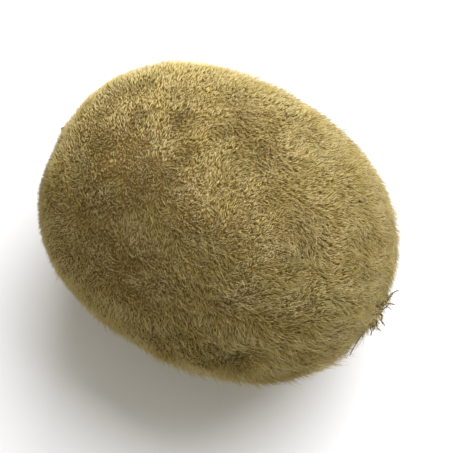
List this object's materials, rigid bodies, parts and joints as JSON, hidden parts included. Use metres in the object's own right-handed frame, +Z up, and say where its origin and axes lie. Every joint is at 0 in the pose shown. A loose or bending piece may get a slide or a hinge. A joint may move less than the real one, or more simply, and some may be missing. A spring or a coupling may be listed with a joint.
{
  "type": "kiwi fruit",
  "caption": "Whole fuzzy brown kiwi fruit lying on its side on a small flat spot, with dried wiry styles on the blossom end and dried sepals round the stem scar.",
  "frame": {"origin": "middle of the underside of the box round the whole fruit, at the level of its flat resting spot", "axes": "+X along the fruit's long axis from the stem end to the blossom end, +Y across it, +Z up from the resting spot"},
  "size_m": [0.0704, 0.053, 0.0488],
  "materials": {
    "skin": "dull olive-brown skin under dense tan hair",
    "dried_sepal": "dry, brittle and matt",
    "dried_style": "dry, wiry and matt"
  },
  "bodies": {
    "root": {"kiwi_fruit": "skin", "dried_sepal_1": "dried_sepal", "dried_sepal_2": "dried_sepal", "dried_sepal_3": "dried_sepal", "dried_sepal_4": "dried_sepal", "dried_sepal_5": "dried_sepal", "dried_style_01": "dried_style", "dried_style_02": "dried_style", "dried_style_03": "dried_style", "dried_style_04": "dried_style", "dried_style_05": "dried_style", "dried_style_06": "dried_style", "dried_style_07": "dried_style", "dried_style_08": "dried_style", "dried_style_09": "dried_style", "dried_style_10": "dried_style", "dried_style_11": "dried_style", "dried_style_12": "dried_style", "dried_style_13": "dried_style", "dried_style_14": "dried_style"}
  },
  "joints": []
}
